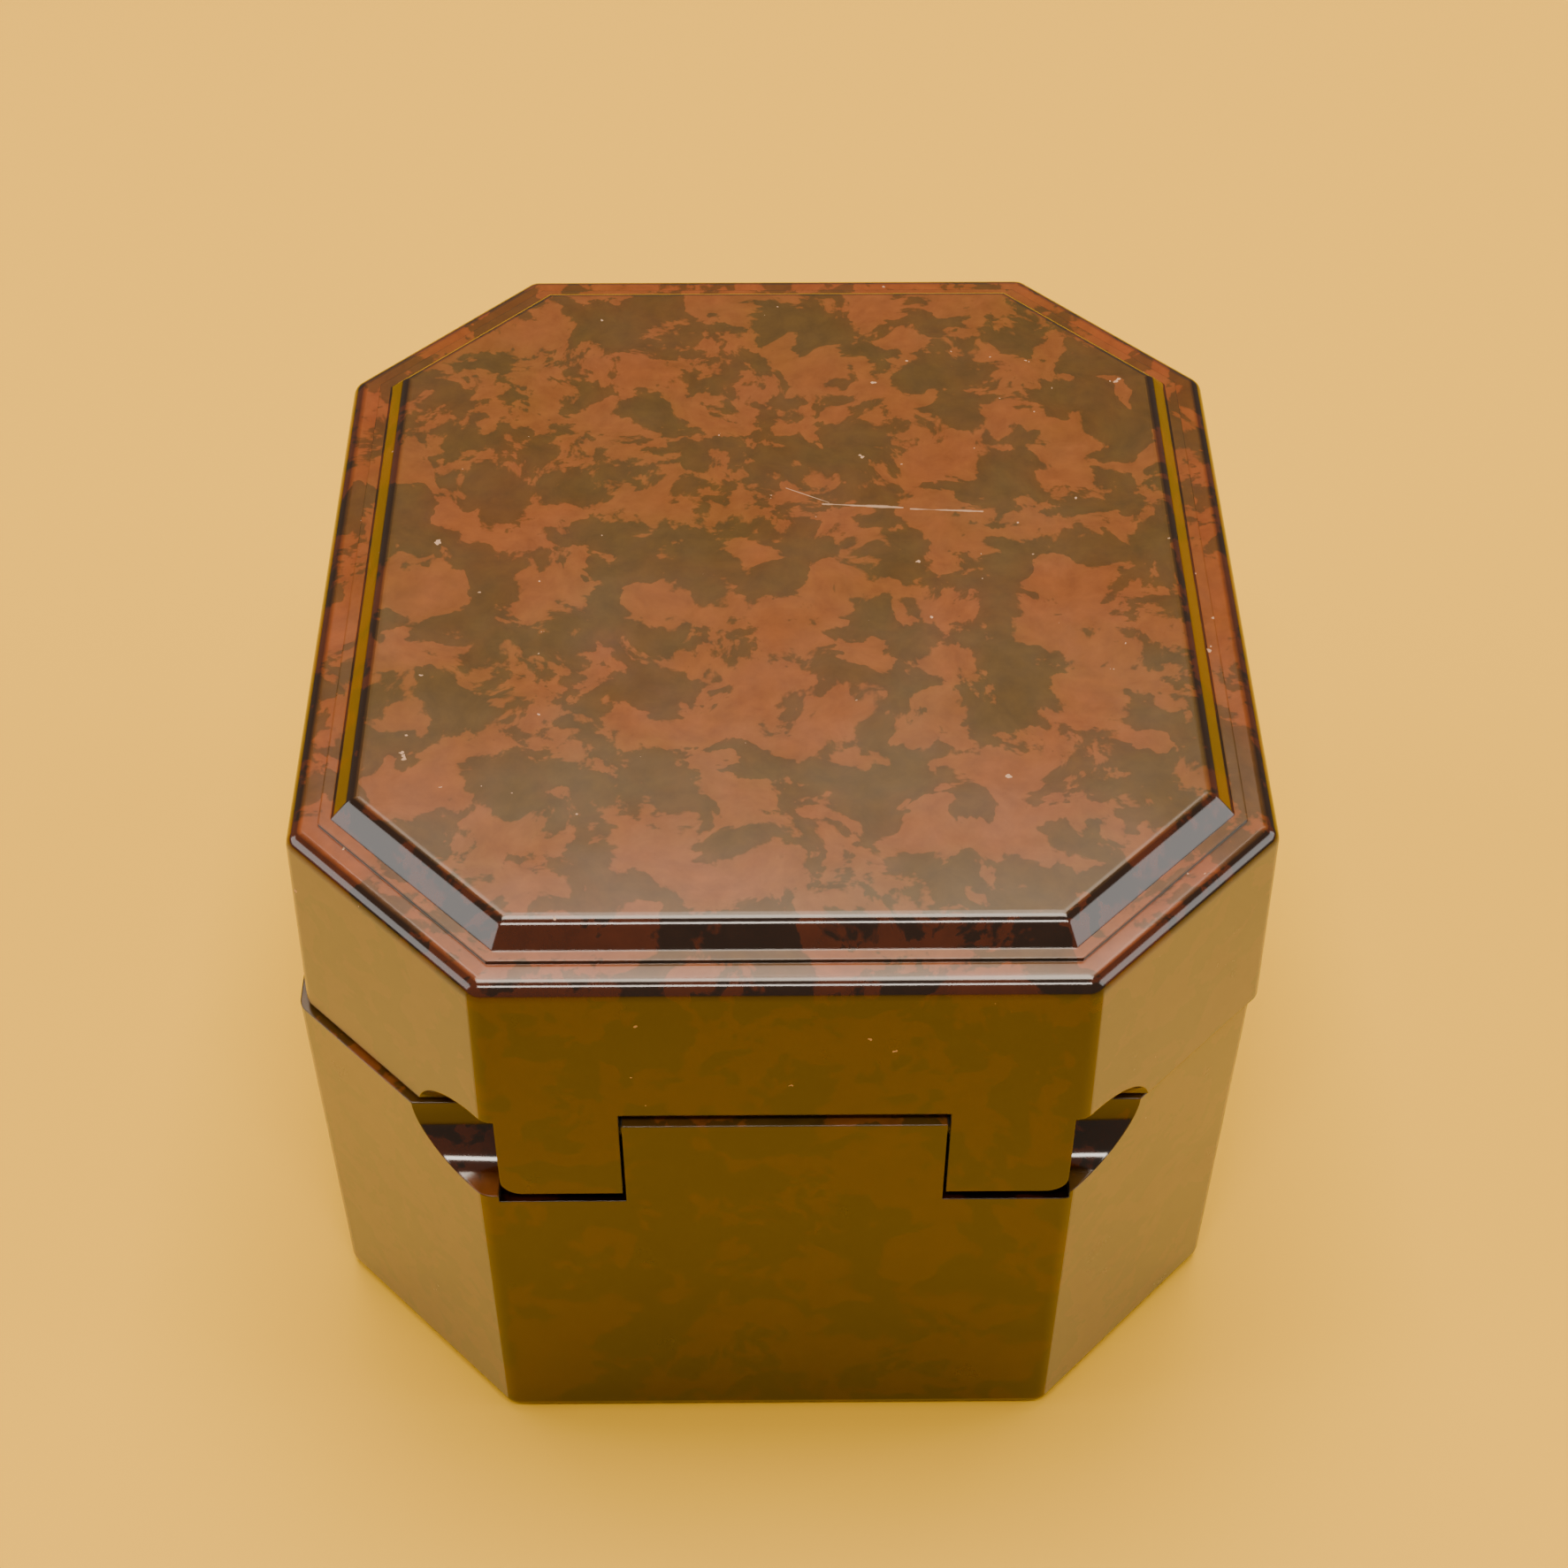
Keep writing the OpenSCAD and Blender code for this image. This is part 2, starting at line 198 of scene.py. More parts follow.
def mottled_phenolic(name, settings, shift, rim, scratches):
    """Thermosetting phenolic, compression moulded from mixed granules and buffed.

    Orange-brown and dark brown granules smear into torn patches. The mouldings and walls keep a deep
    glossy skin, and the handled flats are a paler, duller brown. A painted grey sheen lifts the side
    and corner faces, standing in for their brighter reflection.
    Scales and distances are in millimetres."""
    material = new_material(name)
    tree = material.node_tree
    own = millimetres(tree)
    place = add_node(tree, "ShaderNodeMapping", {0: own, 1: shift})
    normal = add_node(tree, "ShaderNodeTexCoord", out=1)
    level = add_node(tree, "ShaderNodeSeparateXYZ", {0: own}, out=2)
    size = add_node(tree, "ShaderNodeVectorMath", {0: normal}, operation="ABSOLUTE")
    sideways = add_node(tree, "ShaderNodeSeparateXYZ", {0: size})
    upward = add_node(tree, "ShaderNodeSeparateXYZ", {0: size}, out=2)
    wall = add_node(tree, "ShaderNodeMapRange", {0: upward, 1: 0.1, 2: 0.5, 3: 1.0, 4: 0.0})
    side = add_node(tree, "ShaderNodeMapRange", {0: sideways, 1: 0.55, 2: 0.68, 3: 0.0, 4: 1.0})
    handled = add_node(tree, "ShaderNodeMapRange", {0: upward, 1: 0.95, 2: 0.995})
    below_panel = add_node(tree, "ShaderNodeMapRange", {0: level, 1: rim + 0.1, 2: rim + 0.4, 3: 1.0, 4: 0.0})

    # The smeared granules: a cloudy pattern bent by a slower one and cut off sharply.
    granule = settings.granule / MM
    swirl = add_node(tree, "ShaderNodeTexNoise", {0: place, 2: 0.6 / granule, 3: 2.0, 4: 0.5}, out=1)
    bent = add_node(
        tree, "ShaderNodeVectorMath", {0: swirl, 1: (granule, granule, granule), 2: place},
        operation="MULTIPLY_ADD",
    )
    blobs = add_node(tree, "ShaderNodeTexNoise", {0: bent, 2: 1 / granule, 3: 4.0, 4: 0.52, 8: 0.35})
    crumbs = add_node(tree, "ShaderNodeTexNoise", {0: bent, 2: 3.4 / granule, 3: 3.0, 4: 0.6})
    cloud = add_node(tree, "ShaderNodeTexNoise", {0: place, 2: 0.45 / granule, 3: 1.0})
    crumbly = add_node(tree, "ShaderNodeMapRange", {0: cloud, 1: 0.42, 2: 0.62, 3: 0.12, 4: 0.75})
    ragged = add_node(tree, "ShaderNodeMath", {0: crumbs, 1: 0.5}, operation="SUBTRACT")
    torn = add_node(tree, "ShaderNodeMath", {0: ragged, 1: crumbly, 2: blobs}, operation="MULTIPLY_ADD")
    softness = add_node(tree, "ShaderNodeMapRange", {0: cloud, 1: 0.35, 2: 0.65, 3: 0.006, 4: 0.03})
    lowest = add_node(tree, "ShaderNodeMath", {0: settings.dark_share, 1: softness}, operation="SUBTRACT")
    highest = add_node(tree, "ShaderNodeMath", {0: settings.dark_share, 1: softness}, operation="ADD")
    is_light = add_node(tree, "ShaderNodeMapRange", {0: torn, 1: lowest, 2: highest})
    tint = add_node(tree, "ShaderNodeTexNoise", {0: bent, 2: 0.5 / granule, 3: 3.0, 4: 0.6})
    warm = add_node(tree, "ShaderNodeMapRange", {0: tint, 1: 0.38, 2: 0.62})
    fleck = add_node(tree, "ShaderNodeTexNoise", {0: bent, 2: 1 / 1.1, 3: 4.0, 4: 0.65})
    shade = add_node(tree, "ShaderNodeMapRange", {0: fleck, 1: 0.3, 2: 0.7, 3: 0.82, 4: 1.18})

    tones = (
        (settings.dark, settings.dark_warm, warm), (settings.light, settings.light_warm, warm),
        (settings.skin_dark, settings.skin_light, is_light),
    )
    deep, pale, skin = (
        add_node(tree, "ShaderNodeMix", {0: by, 6: a, 7: b}, out=2, data_type="RGBA") for a, b, by in tones
    )
    scuffed = add_node(tree, "ShaderNodeMix", {0: is_light, 6: deep, 7: pale}, out=2, data_type="RGBA")
    rubbed_rim = add_node(
        tree, "ShaderNodeVectorMath", {0: scuffed, 1: settings.rim_wear}, operation="MULTIPLY"
    )
    quiet = add_node(
        tree, "ShaderNodeMix", {0: settings.wall_contrast, 6: settings.wall, 7: skin}, out=2, data_type="RGBA"
    )
    flats = add_node(
        tree, "ShaderNodeMix", {0: below_panel, 6: scuffed, 7: rubbed_rim}, out=2, data_type="RGBA"
    )
    mouldings = add_node(tree, "ShaderNodeMix", {0: handled, 6: skin, 7: flats}, out=2, data_type="RGBA")
    body = add_node(tree, "ShaderNodeMix", {0: wall, 6: mouldings, 7: quiet}, out=2, data_type="RGBA")
    shaded = add_node(tree, "ShaderNodeVectorMath", {0: body, 3: shade}, operation="SCALE")
    # Painted reflection: a grey sheen is added to the side and corner faces to brighten them as a reflection
    # would.
    sheen_faces = add_node(tree, "ShaderNodeMath", {0: side, 1: wall}, operation="MULTIPLY")
    painted_sheen = add_node(tree, "ShaderNodeVectorMath", {0: settings.painted_side_sheen[:3], 3: sheen_faces}, operation="SCALE")
    plain = add_node(tree, "ShaderNodeVectorMath", {0: shaded, 1: painted_sheen}, operation="ADD")

    # Pale nicks, each a fraction of a millimetre across, and few of them. Some are drawn out.
    squeezed = add_node(tree, "ShaderNodeMapping", {0: place, 3: (0.45, 1.0, 1.0)})
    frayed = add_node(
        tree, "ShaderNodeVectorMath", {0: swirl, 1: (2.0, 2.0, 2.0), 2: squeezed}, operation="MULTIPLY_ADD"
    )
    marks = [scratch_mask(tree, own, *scratch) for scratch in scratches]
    for coordinates, spacing, radius, share in ((place, 2.6, 0.03, 0.9), (frayed, 1.9, 0.035, 0.93)):
        cell = add_node(tree, "ShaderNodeTexVoronoi", {0: coordinates, 2: 1 / spacing})
        chance = add_node(tree, "ShaderNodeTexVoronoi", {0: coordinates, 2: 1 / spacing}, out=1)
        few = add_node(tree, "ShaderNodeMath", {0: chance, 1: share}, operation="GREATER_THAN")
        near = add_node(tree, "ShaderNodeMath", {0: cell, 1: radius}, operation="LESS_THAN")
        marks.append(add_node(tree, "ShaderNodeMath", {0: few, 1: near}, operation="MULTIPLY"))
    nicked = marks[0]
    for mark in marks[1:]:
        nicked = add_node(tree, "ShaderNodeMath", {0: nicked, 1: mark}, operation="MAXIMUM")
    faint = add_node(tree, "ShaderNodeMath", {0: nicked, 1: 0.75}, operation="MULTIPLY")
    colour = add_node(
        tree, "ShaderNodeMix", {0: faint, 6: plain, 7: hex_colour("#C9A07C")}, out=2, data_type="RGBA"
    )

    # Rubbing has left fine lines across the flats, 0.12 mm apart.
    rubbed = add_node(tree, "ShaderNodeMapping", {0: place, 3: (0.25, 8.0, 8.0)})
    lines = add_node(tree, "ShaderNodeTexNoise", {0: rubbed, 2: 1.0, 3: 2.0, 4: 0.5})
    worn = add_node(tree, "ShaderNodeTexNoise", {0: place, 2: 1 / 5.0, 3: 6.0, 4: 0.65})
    patchy = add_node(tree, "ShaderNodeMapRange", {0: worn, 1: 0.3, 2: 0.7, 3: 0.7, 4: 1.3})
    top_dull = add_node(tree, "ShaderNodeMath", {0: handled, 1: settings.top_dull}, operation="MULTIPLY")
    wall_dull = add_node(tree, "ShaderNodeMath", {0: wall, 1: settings.wall_dull}, operation="MULTIPLY")
    dull = add_node(tree, "ShaderNodeMath", {0: top_dull, 1: wall_dull}, operation="MAXIMUM")
    handling = add_node(
        tree, "ShaderNodeMath", {0: dull, 1: patchy, 2: settings.gloss}, operation="MULTIPLY_ADD"
    )
    rough = add_node(
        tree, "ShaderNodeMath", {0: nicked, 1: 0.4, 2: handling}, operation="MULTIPLY_ADD", use_clamp=True
    )

    ripple = add_node(tree, "ShaderNodeTexNoise", {0: place, 2: 1 / 2.5, 3: 2.0, 4: 0.5})
    pitted = add_node(tree, "ShaderNodeMath", {0: nicked, 1: -0.5, 2: ripple}, operation="MULTIPLY_ADD")
    on_flats = add_node(tree, "ShaderNodeMath", {0: handled, 1: 0.04}, operation="MULTIPLY")
    height = add_node(tree, "ShaderNodeMath", {0: lines, 1: on_flats, 2: pitted}, operation="MULTIPLY_ADD")
    # The edges' radius is about a tenth of a millimetre and is left to the shading.
    softened = add_node(tree, "ShaderNodeBevel", {"Radius": settings.edge}, samples=6)
    bump = add_node(
        tree, "ShaderNodeBump",
        {"Strength": settings.ripple, "Distance": 0.02 * MM, "Height": height, "Normal": softened},
    )
    shader = add_node(
        tree, "ShaderNodeBsdfPrincipled",
        {"Base Color": colour, "Roughness": rough, "IOR": 1.6, "Normal": bump},
    )
    add_node(tree, "ShaderNodeOutputMaterial", {"Surface": shader})
    return material


def metal(name, colour, roughness, grain, lines):
    """A plain metal with fine marks; lines is the spacing in millimetres along each axis."""
    material = new_material(name)
    tree = material.node_tree
    place = millimetres(tree)
    drawn = add_node(tree, "ShaderNodeMapping", {0: place, 3: tuple(1 / spacing for spacing in lines)})
    marks = add_node(tree, "ShaderNodeTexNoise", {0: drawn, 2: 1.0, 3: 3.0, 4: 0.6})
    stain = add_node(tree, "ShaderNodeTexNoise", {0: place, 2: 1 / 1.8, 3: 4.0})
    stained = add_node(tree, "ShaderNodeMapRange", {0: stain, 1: 0.4, 2: 0.75, 4: 0.5})
    toned = add_node(
        tree, "ShaderNodeMix", {0: stained, 6: hex_colour(colour), 7: hex_colour("#5E5145")}, out=2,
        data_type="RGBA",
    )
    rough = add_node(tree, "ShaderNodeMath", {0: marks, 1: grain, 2: roughness}, operation="MULTIPLY_ADD")
    bump = add_node(tree, "ShaderNodeBump", {"Strength": 0.25, "Distance": 0.01 * MM, "Height": marks})
    shader = add_node(
        tree, "ShaderNodeBsdfPrincipled",
        {"Base Color": toned, "Metallic": 1.0, "Roughness": rough, "Normal": bump},
    )
    add_node(tree, "ShaderNodeOutputMaterial", {"Surface": shader})
    return material


def pressed_felt(settings):
    """Pressed wool felt: matt, with short crossing fibres and a soft sheen at the edges."""
    material = new_material("wool_felt_pressed")
    tree = material.node_tree
    place = millimetres(tree)
    # Fibres are 0.02 mm wide, and are drawn about 0.25 mm wide so that they show.
    fibres = add_node(
        tree, "ShaderNodeTexNoise", {0: place, 2: 1 / 0.25, 3: 6.0, 4: 0.7, "Distortion": 1.4}
    )
    lumps = add_node(tree, "ShaderNodeTexNoise", {0: place, 2: 1 / 3.0, 3: 3.0})
    tone = add_node(tree, "ShaderNodeMath", {0: lumps, 1: 0.5, 2: fibres}, operation="MULTIPLY_ADD")
    colour = add_node(
        tree, "ShaderNodeValToRGB", {0: tone}, stops=[(0.45, settings.felt_dark), (0.95, settings.felt)]
    )
    bump = add_node(tree, "ShaderNodeBump", {"Strength": 0.8, "Distance": 0.15 * MM, "Height": fibres})
    shader = add_node(
        tree, "ShaderNodeBsdfPrincipled",
        {
            "Base Color": colour, "Roughness": 0.95, "Normal": bump,
            "Sheen Weight": 0.4, "Sheen Roughness": 0.5,
        },
    )
    add_node(tree, "ShaderNodeOutputMaterial", {"Surface": shader})
    return material


def cotton_velvet(settings):
    """Short-pile cotton velvet: dark where the pile is seen end on, with a pale sheen at its folds."""
    material = new_material("cotton_velvet_woven")
    tree = material.node_tree
    place = millimetres(tree)
    pile = add_node(tree, "ShaderNodeTexNoise", {0: place, 2: 1 / 0.2, 3: 4.0, 4: 0.7})
    crush = add_node(tree, "ShaderNodeTexNoise", {0: place, 2: 1 / 2.2, 3: 3.0})
    tufts = add_node(tree, "ShaderNodeMath", {0: pile, 1: 0.3}, operation="MULTIPLY")
    tone = add_node(tree, "ShaderNodeMath", {0: crush, 1: 0.7, 2: tufts}, operation="MULTIPLY_ADD")
    colour = add_node(
        tree, "ShaderNodeMix", {0: tone, 6: settings.cloth_dark, 7: settings.cloth}, out=2, data_type="RGBA"
    )
    bump = add_node(tree, "ShaderNodeBump", {"Strength": 0.6, "Distance": 0.1 * MM, "Height": pile})
    shader = add_node(
        tree, "ShaderNodeBsdfPrincipled",
        {
            "Base Color": colour, "Roughness": 0.9, "Normal": bump,
            "Sheen Weight": 0.8, "Sheen Roughness": 0.35,
        },
    )
    add_node(tree, "ShaderNodeOutputMaterial", {"Surface": shader})
    return material


def cast_rosin(settings):
    """Pine rosin, melted and cast: a clear amber glass, dusty and finely scored where the bow runs."""
    material = new_material("pine_rosin_cast")
    tree = material.node_tree
    place = millimetres(tree)
    normal = add_node(tree, "ShaderNodeTexCoord", out=1)
    facing = add_node(tree, "ShaderNodeSeparateXYZ", {0: normal}, out=2)
    top = add_node(tree, "ShaderNodeMapRange", {0: facing, 1: 0.75, 2: 0.98})
    # The hairs score lines across the cake, here 0.25 mm apart so that they show.
    scored = add_node(tree, "ShaderNodeMapping", {0: place, 3: (0.03, 1 / 0.25, 1 / 0.25)})
    lines = add_node(tree, "ShaderNodeTexNoise", {0: scored, 2: 1.0, 3: 3.0, 4: 0.7})
    clouds = add_node(tree, "ShaderNodeTexNoise", {0: place, 2: 1 / 6.0, 3: 5.0, 4: 0.6})
    streaked = add_node(tree, "ShaderNodeMath", {0: lines, 1: 0.25, 2: clouds}, operation="MULTIPLY_ADD")
    dust = add_node(tree, "ShaderNodeMapRange", {0: streaked, 1: 0.4, 2: 0.85, 3: 0.1, 4: 0.55})
    dusty = add_node(tree, "ShaderNodeMath", {0: top, 1: dust}, operation="MULTIPLY")
    depth = add_node(
        tree, "ShaderNodeValToRGB", {0: clouds}, stops=[(0.3, settings.rosin_dark), (0.75, settings.rosin)]
    )
    colour = add_node(
        tree, "ShaderNodeMix", {0: dusty, 6: depth, 7: settings.rosin_dust}, out=2, data_type="RGBA"
    )
    rough = add_node(
        tree, "ShaderNodeMath", {0: dusty, 1: 0.55, 2: 0.08}, operation="MULTIPLY_ADD", use_clamp=True
    )
    clear = add_node(
        tree, "ShaderNodeMath", {0: dusty, 1: -0.55, 2: 0.6}, operation="MULTIPLY_ADD", use_clamp=True
    )
    scores = add_node(tree, "ShaderNodeMath", {0: lines, 1: top}, operation="MULTIPLY")
    bump = add_node(tree, "ShaderNodeBump", {"Strength": 0.5, "Distance": 0.05 * MM, "Height": scores})
    shader = add_node(
        tree, "ShaderNodeBsdfPrincipled",
        {
            "Base Color": colour, "Roughness": rough, "Transmission Weight": clear, "IOR": 1.53,
            "Normal": bump, "Subsurface Weight": 0.25, "Subsurface Radius": (4 * MM, 1.6 * MM, 0.4 * MM),
            "Subsurface Scale": 1.0,
        },
    )
    add_node(tree, "ShaderNodeOutputMaterial", {"Surface": shader})
    return material


def plain_floor(settings):
    """A plain pale sheet of card."""
    material = new_material("card_matt")
    tree = material.node_tree
    grain = add_node(tree, "ShaderNodeTexNoise", {0: millimetres(tree), 2: 1 / 60.0, 3: 2.0})
    tone = add_node(tree, "ShaderNodeMath", {0: grain, 1: 0.06}, operation="MULTIPLY")
    colour = add_node(
        tree, "ShaderNodeMix", {0: tone, 6: settings.floor, 7: hex_colour("#E0A010")}, out=2,
        data_type="RGBA",
    )
    shader = add_node(tree, "ShaderNodeBsdfPrincipled", {"Base Color": colour, "Roughness": 0.9})
    add_node(tree, "ShaderNodeOutputMaterial", {"Surface": shader})
    return material


# Sizes and colours


class CaseSettings(bpy.types.PropertyGroup):
    """The moulded case's finish."""

    light: FloatVectorProperty(
        name="Scuffed light patches", description="Colour of the light granules on the handled flats",
        size=4, subtype="COLOR", default=hex_colour("#6E4216"),
    )
    light_warm: FloatVectorProperty(
        name="Scuffed warm patches", description="Colour of the reddest light granules on the flats",
        size=4, subtype="COLOR", default=hex_colour("#744019"),
    )
    dark: FloatVectorProperty(
        name="Scuffed dark patches", description="Colour of the dark granules on the handled flats",
        size=4, subtype="COLOR", default=hex_colour("#4A3510"),
    )
    dark_warm: FloatVectorProperty(
        name="Scuffed brown patches", description="Colour of the brownest dark granules on the flats",
        size=4, subtype="COLOR", default=hex_colour("#523310"),
    )
    skin_light: FloatVectorProperty(
        name="Red skin", description="Colour of the light granules under the glossy skin",
        size=4, subtype="COLOR", default=hex_colour("#3E1908"),
    )
    skin_dark: FloatVectorProperty(
        name="Dark skin", description="Colour of the dark granules under the glossy skin",
        size=4, subtype="COLOR", default=hex_colour("#1E0E06"),
    )
    wall: FloatVectorProperty(
        name="Wall", description="Even brown that the walls tend to",
        size=4, subtype="COLOR", default=hex_colour("#20241F"),
    )
    rim_wear: FloatVectorProperty(
        name="Rim tone", description="How the rim's colour differs from the flat top's",
        size=3, default=(1.15, 0.9, 0.7), min=0.0,
    )
    # Painted reflection: the grey sheen painted onto the side and corner faces.
    painted_side_sheen: FloatVectorProperty(
        name="Painted side sheen", description="Grey added to the side and corner faces",
        size=4, subtype="COLOR", default=hex_colour("#5C5D58"),
    )
    wall_contrast: FloatProperty(
        name="Wall contrast", description="How strongly the patches show on the walls",
        default=0.65, min=0.0, max=1.0,
    )
    dark_share: FloatProperty(
        name="Dark share", description="Level of the pattern below which it is dark",
        default=0.5, min=0.0, max=1.0,
    )
    granule: FloatProperty(
        name="Granule", description="Width of a smeared granule", default=3.2 * MM, unit="LENGTH"
    )
    gloss: FloatProperty(
        name="Moulding roughness", description="Roughness of the buffed mouldings",
        default=0.09, min=0.0, max=1.0,
    )
    top_dull: FloatProperty(
        name="Top wear", description="Roughness that handling adds to the flat top",
        default=0.13, min=0.0, max=1.0,
    )
    wall_dull: FloatProperty(
        name="Wall wear", description="Roughness that handling adds to the walls",
        default=0.15, min=0.0, max=1.0,
    )
    ripple: FloatProperty(
        name="Ripple", description="Strength of the moulded surface's ripple",
        default=0.3, min=0.0, max=1.0,
    )
    edge: FloatProperty(
        name="Edge radius", description="Radius of the edges at the mouth and the hinge",
        default=0.12 * MM, unit="LENGTH",
    )


class ContentsSettings(bpy.types.PropertyGroup):
    """The cake, its cloth and the pads."""

    rosin: FloatVectorProperty(
        name="Rosin", description="Colour of the clear rosin",
        size=4, subtype="COLOR", default=hex_colour("#D98A2B"),
    )
    rosin_dark: FloatVectorProperty(
        name="Deep rosin", description="Colour of the thick rosin",
        size=4, subtype="COLOR", default=hex_colour("#8A3F0C"),
    )
    rosin_dust: FloatVectorProperty(
        name="Rosin dust", description="Colour of the dust on the worn top",
        size=4, subtype="COLOR", default=hex_colour("#CF9A55"),
    )
    felt: FloatVectorProperty(
        name="Felt", description="Colour of the felt pads",
        size=4, subtype="COLOR", default=hex_colour("#6A2A2E"),
    )
    felt_dark: FloatVectorProperty(
        name="Felt shade", description="Colour between the felt's fibres",
        size=4, subtype="COLOR", default=hex_colour("#3A1216"),
    )
    cloth: FloatVectorProperty(
        name="Cloth", description="Colour of the velvet's pile",
        size=4, subtype="COLOR", default=hex_colour("#6E2436"),
    )
    cloth_dark: FloatVectorProperty(
        name="Cloth shade", description="Colour deep in the velvet's pile",
        size=4, subtype="COLOR", default=hex_colour("#36101C"),
    )
    cloth_diameter: FloatProperty(
        name="Cloth diameter", description="Diameter that the round of cloth is cut to",
        default=64 * MM, unit="LENGTH",
    )
    folds: IntProperty(name="Folds", description="Number of gathers in the cloth", default=34, min=12, max=60)
    fibre: FloatProperty(
        name="Felt edge", description="Radius of the felt pads' soft edges",
        default=0.6 * MM, unit="LENGTH",
    )


class StageSettings(bpy.types.PropertyGroup):
    """The floor, the lights and the camera."""

    floor: FloatVectorProperty(
        name="Floor", description="Colour of the floor",
        size=4, subtype="COLOR", default=hex_colour("#F8BE1E"),
    )
    camera: FloatVectorProperty(
        name="Camera", description="Where the camera stands",
        size=3, subtype="XYZ", unit="LENGTH", default=(-0.7 * MM, -98.4 * MM, 124.5 * MM),
    )
    aim: FloatVectorProperty(
        name="Aim", description="What the camera points at",
        size=3, subtype="XYZ", unit="LENGTH", default=(0.4 * MM, 2.5 * MM, 17.0 * MM),
    )
    tilt: FloatProperty(
        name="Tilt", description="How far the camera leans about its own axis",
        default=math.radians(0.17), subtype="ANGLE",
    )
    lens: FloatProperty(name="Lens", description="Focal length in millimetres", default=63.6)


# Operators


class CASE_OT_shells(bpy.types.Operator):
    """Finish the moulded base and lid"""

    bl_idname = "rosin_case.shells"
    bl_label = "Moulded base and lid"

    def execute(self, context):
        settings = context.scene.rosin_case
        top = cad_high.z / MM
        # Each scratch's two ends and its width, in millimetres.
        rubs = (
            ((2.3, 4.8, top), (6.2, 4.5, top), 0.16),
            ((6.6, 4.4, top), (10.1, 4.2, top), 0.12),
            ((0.5, 6.0, top), (2.6, 4.9, top), 0.05),
        )
        for node, body, slot, shift, scratches in (
            ("base_shell", BASE, "case_base", (0.0, 0.0, 0.0), ()),
            ("lid_shell", LID, "case_lid", (21.0, 4.0, 9.0), rubs),
        ):
            rim = top - PANEL_H / MM if body == LID else 0.0
            material = mottled_phenolic(f"phenolic_moulded_{slot}", settings, shift, rim, scratches)
            shell = new_piece(f"{node}_moulding", merged_frame_mesh(node), material, body)
            keep_edges_crisp(shell, 38)
            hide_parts(node)
        return {"FINISHED"}


class CASE_OT_metalwork(bpy.types.Operator):
    """Finish the hinge pin, the lid spring and its screws"""

    bl_idname = "rosin_case.metalwork"
    bl_label = "Pin, spring and screws"

    def execute(self, context):
        steel = metal("steel_drawn", "#A9A8A4", 0.28, 0.12, (6.0, 0.05, 0.05))
        spring = metal("spring_steel_blued", "#59626E", 0.3, 0.15, (5.0, 0.3, 0.06))
        brass = metal("brass_turned", "#B8924A", 0.25, 0.15, (0.08, 0.4, 0.08))
        for node, material, slot in (
            ("hinge_pin", steel, "pin_steel"),
            ("lid_spring", spring, "spring_steel"),
        ):
            piece = new_piece(f"{node}_finished", merged_frame_mesh(node), material, BASE)
            round_edges(piece, 0.05 * MM, 2, 40)
            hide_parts(node)
        screws = self.screws(brass)
        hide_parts("spring_screws")
        return {"FINISHED"}

    def screws(self, material):
        """Two round-head screws whose slots stand at slightly different turns."""
        low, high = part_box("spring_screws")
        head_radius = (high.z - low.z) / 2
        middle_z = (high.z + low.z) / 2
        bm = bmesh.new()
        for x, turn in ((low.x + head_radius, 20), (high.x - head_radius, -52)):
            new = screw(head_radius, high.y - low.y)
            place = Matrix.Translation((x, high.y, middle_z))
            place @= Matrix.Rotation(math.radians(-90), 4, "X") @ Matrix.Rotation(math.radians(turn), 4, "Z")
            bmesh.ops.transform(new, matrix=place, verts=new.verts)
            mesh = bpy.data.meshes.new("screw")
            new.to_mesh(mesh)
            new.free()
            bm.from_mesh(mesh)
            bpy.data.meshes.remove(mesh)
        piece = new_piece("spring_screws_slotted", bm, material, BASE)
        round_edges(piece, 0.04 * MM, 2, 40)
        return piece


def screw(head_radius, length):
    """A screw along Z with its domed, slotted head's top at the origin and its shank going down."""
    head = 0.6 * MM
    shank_radius = 0.5 * MM
    slot = 0.32 * MM
    bm = bmesh.new()
    profile = [
        (0.0, -length), (shank_radius * 0.7, -length), (shank_radius, -length + 0.3 * MM),
        (shank_radius, -head), (head_radius, -head), (head_radius, -0.35 * MM),
        (head_radius * 0.85, -0.12 * MM), (head_radius * 0.5, -0.02 * MM), (0.0, 0.0),
    ]
    verts = [bm.verts.new((r, 0, z)) for r, z in profile]
    edges = [bm.edges.new(pair) for pair in zip(verts, verts[1:])]
    bmesh.ops.spin(
        bm, geom=verts + edges, cent=(0, 0, 0), axis=(0, 0, 1), angle=math.tau, steps=32, use_merge=True
    )
    bmesh.ops.remove_doubles(bm, verts=bm.verts, dist=0.001 * MM)
    bmesh.ops.recalc_face_normals(bm, faces=bm.faces)
    for side in (-1, 1):
        bmesh.ops.bisect_plane(
            bm, geom=bm.verts[:] + bm.edges[:] + bm.faces[:],
            plane_co=(side * slot / 2, 0, 0), plane_no=(1, 0, 0), dist=0.001 * MM,
        )
    floor = []
    for face in bm.faces:
        middle = face.calc_center_median()
        if abs(middle.x) < slot / 2 and face.normal.z > 0.3 and middle.z > -0.3 * MM:
            floor.append(face)
    cut = bmesh.ops.extrude_face_region(bm, geom=floor)
    bmesh.ops.delete(bm, geom=floor, context="FACES")
    for v in (g for g in cut["geom"] if isinstance(g, bmesh.types.BMVert)):
        v.co.z = -0.32 * MM
    return bm


